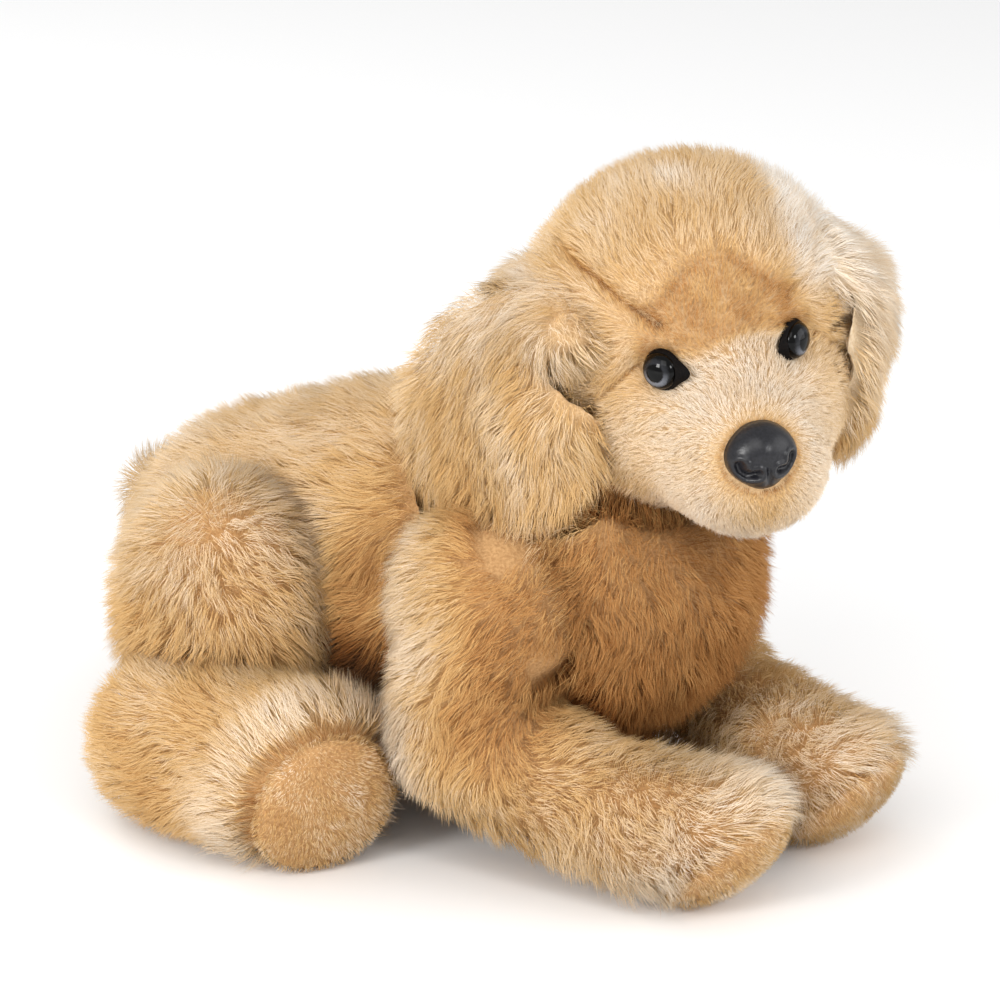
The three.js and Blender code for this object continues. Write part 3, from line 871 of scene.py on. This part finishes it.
def part_of_head(face):
    """The head's pile field, for its short-haired face or for the rest."""
    def field(p, n):
        length, lift, tone, flow, keep = head_field(p, n)
        q = moved(p, HEAD_BACK) / MM
        shown = smooth(-q[:, 1], 30, 42) * (1 - smooth(q[:, 2], 24, 34))
        return length, lift, tone, flow, keep * (shown if face else 1 - shown)

    return field


# ---- ears ----
def ear_shape(side):
    """A fuller front edge, which lies over the cheek, and a shorter flap."""
    def shape(co, nor):
        q = moved(co, HEAD_BACK) / MM
        front = smooth(-q[:, 1], -40, 25)
        if side < 0:
            waist = bell(q[:, 2] + 4, 22)
            q[:, 1] -= (15 + 13 * waist) * front
            q[:, 0] += 9 * smooth(-q[:, 1], 15, 45) * smooth(30 - q[:, 2], 0, 25)
        else:
            q[:, 1] -= 6 * front
            q[:, 0] -= 0.1 * np.maximum(10 - q[:, 2], 0) + 4 * smooth(60 - q[:, 0], 0, 14)
            q[:, 0] -= 0.25 * np.maximum(-15 - q[:, 2], 0)
        q[:, 2] += 0.17 * np.maximum(-20 - q[:, 2], 0)
        # The outer edge slopes down from the top.
        top_slope, edge_slope = (0.8, 0.6) if side > 0 else (0.35, 0.3)
        outer = smooth(side * q[:, 0], 46, 62)
        q[:, 2] -= top_slope * outer * np.maximum(q[:, 2] - 12, 0)
        q[:, 2] -= edge_slope * np.maximum(side * q[:, 0] - 56, 0) * smooth(q[:, 2], -25, 10)
        return moved(q * MM, HEAD)

    return shape


def ear_field(hinge, side):
    def field(p, n):
        q = moved(p, HEAD_BACK) / MM
        h = moved(np.array([hinge]), HEAD_BACK)[0] / MM
        down = smooth(h[2] - q[:, 2], -12, 30)
        fan = np.clip((q[:, 1] - h[1]) / 40, -1, 1)
        flow = np.stack([side * mix(0.9, 0.15, down), 0.55 * fan, mix(-0.5, -1, down)], 1)
        streak = ripple(q * (1, 1, 0.22), 11, 40 + side)
        tone = mix(5.7, 4.1, smooth(h[2] - q[:, 2], 0, 80)) + 0.7 * streak
        if side > 0:
            tone = tone + mix(2.2, 1.2, down)
            tone = tone - 2.4 * smooth(streak, 0.0, 0.8) * down * smooth(-q[:, 1], -10, 25)
        inner = smooth(-side * turned(n, HEAD_BACK)[:, 0], 0.1, 0.6)
        length = mix(mix(12, 16, down), 10, inner)
        top = smooth(q[:, 2] - h[2], -16, 4)
        lift = mix(mix(44, 34, down), 12, top)
        return mix(length, 8, top), lift, tone, turned(flow, HEAD), 1 - 0.35 * inner

    return field


# ---- eyes and nose ----
# In mm: how far a moulded shape's back reaches behind its rim, and the sizes of the eyes.
BACK_DEPTH = 5.0
EYE_RADIUS = 7.1
EYE_HEIGHT = 5.0
LID_RADIUS = 8.1
LIP_RADIUS = 7.4


def dial(name, place, outline, profile, stations=26, spokes=72):
    """A closed moulded shape, in mm: outline(angle) is its reach, profile(share, x, y) its height."""
    points, faces = [(0.0, 0.0, profile(0.0, 0.0, 0.0))], []
    for i in range(1, stations + 1):
        share = i / stations
        for k in range(spokes):
            angle = TAU * k / spokes
            x, y = (share * outline(angle) * f(angle) for f in (math.cos, math.sin))
            points.append((x, y, profile(share, x, y)))
    for k in range(spokes):
        faces.append([0, 1 + k, 1 + (k + 1) % spokes])
    for i in range(stations - 1):
        for k in range(spokes):
            a, b = 1 + i * spokes + k, 1 + i * spokes + (k + 1) % spokes
            faces.append([a, a + spokes, b + spokes, b])
    last = 1 + (stations - 1) * spokes
    points.append((0.0, 0.0, -BACK_DEPTH))
    faces += [[last + (k + 1) % spokes, last + k, len(points) - 1] for k in range(spokes)]
    mesh = bpy.data.meshes.new(name)
    mesh.from_pydata((np.array(points) * MM).tolist(), [], faces)
    mesh.polygons.foreach_set("use_smooth", np.ones(len(faces), bool))
    piece = link_object(name, mesh)
    piece.matrix_world = place
    return piece


def frame_at(at, out, across):
    """A frame whose z points out and whose x points as near as it can along across."""
    z = out.normalized()
    x = (across - z * across.dot(z)).normalized()
    turn = Matrix((x, z.cross(x), z)).transposed().to_4x4()
    turn.translation = at
    return turn


def ball_height(share, x, y):
    return EYE_HEIGHT * math.sqrt(1 - 0.98 * share * share)


def lid_height(share, x, y):
    """A flat lid with a lip against the ball and an edge that turns down into the cloth."""
    lip = 0.9 * math.exp(-(((math.hypot(x, y) - LIP_RADIUS) / 0.7) ** 2))
    return 0.8 + lip - 2.6 * max(0, share - 0.8) / 0.2


def eyes():
    for word, side in SIDES:
        # The left eye sits deeper and has a shorter corner.
        sunk, corner = (3.4, 3.4) if side < 0 else (4.4, 1.2)
        back, lens = middle(f"eye_{word}_back"), middle(f"eye_{word}_lens")
        out = (lens - back).normalized()
        low = lens - out * sunk * MM
        place = frame_at(low, out, along_head(-side, 0, -0.12))
        ball_piece = dial(f"eye_{word}_ball", place, lambda angle: EYE_RADIUS, ball_height)
        ball_piece.data.materials.append(EYE_PLASTIC[word])

        def lid_outline(angle):
            return LID_RADIUS + corner * math.exp(-((math.remainder(angle, TAU) / 0.36) ** 2))

        lid = dial(f"eye_{word}_lid", place, lid_outline, lid_height, stations=34)
        lid.data.materials.append(LID_FELT)
        for piece in (ball_piece, lid):
            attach(piece, "head")
        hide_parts(f"eye_{word}_lens", f"eye_{word}_back")


def nose():
    place = frame_at(in_head(0, -77.5, -27), along_head(0, -1, 0.12), along_head(1, 0, 0))
    # Places along one nostril; the other mirrors it.
    slit = [(4.6, -4.6), (7.6, -4.9), (9.6, -3.0), (10.2, -0.4)]

    def outline(angle):
        rise, run = math.sin(angle), math.cos(angle)
        return 13.4 + 0.9 * rise * abs(run) - 0.7 * rise ** 2 + 0.35 * math.cos(4 * angle)

    def height(share, x, y):
        dome = 10.5 * (1 - share ** 2.7) ** 0.5 + 1.3 * bell(np.hypot(x, y - 3), 6)
        spot = np.array([[abs(x), y]])
        gap = line_gap(spot, slit)[0]
        groove = 0.9 * math.exp(-((x / 1.0) ** 2)) * float(smooth(-y, -1, 5))
        return float(dome - 3.0 * bell(gap, 1.35) + 0.9 * bell(gap - 2.9, 1.1) - groove)

    piece = dial("nose_front", place, outline, height, stations=40, spokes=96)
    piece.data.materials.append(NOSE_PLASTIC)
    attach(piece, "head")
    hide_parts("nose")


def washers():
    for node, piece in frame["nodes"].items():
        if "washer" in node:
            piece.data.materials.clear()
            piece.data.materials.append(WASHER_PLASTIC)


# ---- the toy ----
def covers():
    """Every cover, by name, with the bodies it moves with."""
    skins = {}
    torso_nodes = ["torso_filling", "belly_panel", "chest_panel", "back_left_panel", "back_right_panel"]
    # A ball under the chest fills the gap between the front legs; the torso's pile on it is painted dark as
    # shade.
    keel = (Vector((6, -98, 26)) * MM, (32 * MM, 28 * MM, 22 * MM), Matrix.Identity(3))
    skins["torso"] = cover("torso_cover", riding("torso"), torso_nodes, shape=torso_shape, extra=[keel])
    skins["neck"] = cover("neck_cover", riding("neck"), ["neck_filling"], inset=-1)
    head_nodes = ["head_filling"] + [
        n + "_panel" for n in ("crown", "cheek_left", "cheek_right", "muzzle", "chin")]
    skins["head"] = cover("head_cover", riding("head"), head_nodes, inset=2, voxel=3, shape=head_shape,
                          backing=SAND)
    for word, side in SIDES:
        hinge = JOINTS[f"ear_{word}_lift"]
        nodes = [f"ear_{word}_outer", f"ear_{word}_lining"]
        root = (hinge + along_head(-side * (9 if side > 0 else 3), 4, -15), (13 * MM, 27 * MM, 15 * MM),
                HEAD.to_3x3())
        skins["ear_" + word] = cover(f"ear_{word}_cover", ear_bend(), nodes, inset=1, voxel=3,
                                     backing=CREAM if side > 0 else SAND,
                                     shape=ear_shape(side), extra=[root])
        leg, shoulder = f"front_leg_{word}", JOINTS[f"front_leg_{word}_lift"]
        nodes = [f"front_{word}_{k}" for k in ("filling", "outer_panel", "inner_panel", "paw_sole")]
        cap = (shoulder + Vector((-side * 7, 2, 5)) * MM, (33 * MM, 40 * MM, 38 * MM), Matrix.Identity(3))
        flat = sole_shape(SOLE_OUT, plane_of(nodes[3], SOLE_OUT, SOLE_PILE))
        skins[leg] = cover(f"front_{word}_cover", riding(leg), nodes, extra=[cap], shape=flat)
        leg = f"hind_leg_{word}"
        nodes = [f"thigh_{word}_{k}" for k in ("filling", "outer_panel", "inner_panel")]
        skins["thigh_" + word] = cover(f"thigh_{word}_cover", riding(leg), nodes)
        nodes = [f"foot_{word}_{k}" for k in ("filling", "top_panel", "under_panel", "sole_pad")]
        out = (side * PAD_OUT[0], *PAD_OUT[1:])
        flat = sole_shape(out, plane_of(nodes[3], out, PAD_PILE))
        skins["foot_" + word] = cover(f"foot_{word}_cover", riding(leg), nodes, inset=2, shape=flat)
    nodes = ["tail_filling", "tail_outer_panel", "tail_inner_panel"]
    root = (JOINTS["tail_wag"] + Vector((0, -3, -3)) * MM, (14 * MM, 14 * MM, 14 * MM), Matrix.Identity(3))
    skins["tail"] = cover("tail_cover", riding("tail"), nodes, voxel=3, extra=[root])
    return skins


def ear_bend():
    return bending()


def coat(skins):
    """The pile on every cover, in pieces small enough to share out."""
    torso, neck, head, tail = (skins[k] for k in ("torso", "neck", "head", "tail"))
    limbs = [skins[k] for k in ("front_leg_left", "front_leg_right", "thigh_left", "thigh_right")]
    ears = [skins["ear_left"], skins["ear_right"]]
    pile("torso_pile", riding("torso"), torso, torso_field, 115, 1, others=[neck] + limbs + [tail])
    pile("neck_pile", riding("neck"), neck, neck_field, 100, 2, others=[torso, head])
    pile("crown_pile", riding("head"), head, part_of_head(False), 150, 3, width=0.22, clump=0.35,
         others=ears, depth=0.6)
    pile("face_pile", riding("head"), head, part_of_head(True), 260, 4, width=0.18, clump=0.1,
         others=ears, depth=0.3)
    for i, (word, side) in enumerate(SIDES):
        field = ear_field(JOINTS[f"ear_{word}_lift"], side)
        pile(f"ear_{word}_pile", ear_bend(), skins["ear_" + word], field, 140, 5 + i,
             others=[head], depth=0.6)

        shoulder = JOINTS[f"front_leg_{word}_lift"]
        elbow_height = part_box(f"front_{word}_outer_panel")[0].z + 48 * MM
        elbow = Vector((side * 66 * MM, shoulder.y + 8 * MM, elbow_height))
        wrist = Vector((side * 56 * MM, shoulder.y - 44 * MM, 33 * MM))
        paw = middle(f"front_{word}_paw_sole") + Vector((0, 10, 6)) * MM
        sole = plane_of(f"front_{word}_paw_sole", SOLE_OUT, SOLE_PILE)
        field = arm_field(shoulder, elbow, wrist, paw, SOLE_OUT, sole)
        body = f"front_leg_{word}"
        pile(f"front_{word}_pile", riding(body), skins[body], field, 120, 8 + i, others=[torso])

        body = f"hind_leg_{word}"
        thigh, foot = skins[f"thigh_{word}"], skins[f"foot_{word}"]
        field = thigh_field(JOINTS[f"hind_leg_{word}_splay"])
        pile(f"thigh_{word}_pile", riding(body), thigh, field, 115, 11 + i, others=[torso, foot])
        low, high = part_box(f"foot_{word}_under_panel")
        middle_x = side * 103 * MM
        toe = Vector((middle_x, low.y + 33 * MM, high.z))
        heel = Vector((middle_x, high.y - 31 * MM, high.z))
        out = (side * PAD_OUT[0], *PAD_OUT[1:])
        field = foot_field(heel, toe, out, plane_of(f"foot_{word}_sole_pad", out, PAD_PILE))
        pile(f"foot_{word}_pile", riding(body), foot, field, 120, 14 + i, others=[thigh])
    root = JOINTS["tail_wag"]
    low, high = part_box("tail_inner_panel")
    bend = (root.x + 31 * MM, high.y - 4 * MM, root.z - 22 * MM)
    end = (high.x - 16 * MM, low.y + 14 * MM, low.z + 14 * MM)
    pile("tail_pile", riding("tail"), tail, tail_field([root, bend, end]), 110, 17)


def studio():
    floor = link_object("floor", bpy.data.meshes.new("floor"))
    reach = 6
    corners = [(-reach, -reach, 0), (reach, -reach, 0), (reach, reach, 0), (-reach, reach, 0)]
    floor.data.from_pydata(corners, [], [(0, 1, 2, 3)])
    floor.data.materials.append(new_material("floor", 0.8, Base_Color=(0.93, 0.93, 0.93, 1)))
    world = bpy.data.worlds.new("world")
    bpy.context.scene.world = world
    world.use_nodes = True
    world.node_tree.nodes["Background"].inputs["Color"].default_value = (1, 1, 1, 1)
    world.node_tree.nodes["Background"].inputs["Strength"].default_value = 0.8
    # Each lamp's name, place, side in metres, power in watts and colour.
    lights = (
        ("key", (-1.5, 0.12, 0.7), 0.42, 13, (1, 0.99, 0.97)),
        ("top", (-1.2, -0.6, 1.3), 0.9, 6, (1, 0.99, 0.97)),
        ("front", (-0.5, -1.6, 0.85), 0.36, 7, (1, 1, 1)),
        ("fill", (0.7, -1.6, 0.7), 1.2, 8, (1, 1, 1)),
        ("rim", (0.2, 1.5, 1.3), 1.0, 8, (1, 1, 1)),
    )
    for name, place, size, power, colour in lights:
        data = bpy.data.lights.new(name, "AREA")
        data.size = size
        data.energy = power
        data.color = colour
        lamp = bpy.data.objects.new(name, data)
        bpy.context.scene.collection.objects.link(lamp)
        lamp.location = place
        lamp.rotation_euler = (Vector(place) - AIM).to_track_quat("Z", "Y").to_euler()
    bpy.context.scene.view_settings.view_transform = "Standard"


add_camera()
coat(covers())
eyes()
nose()
washers()
studio()
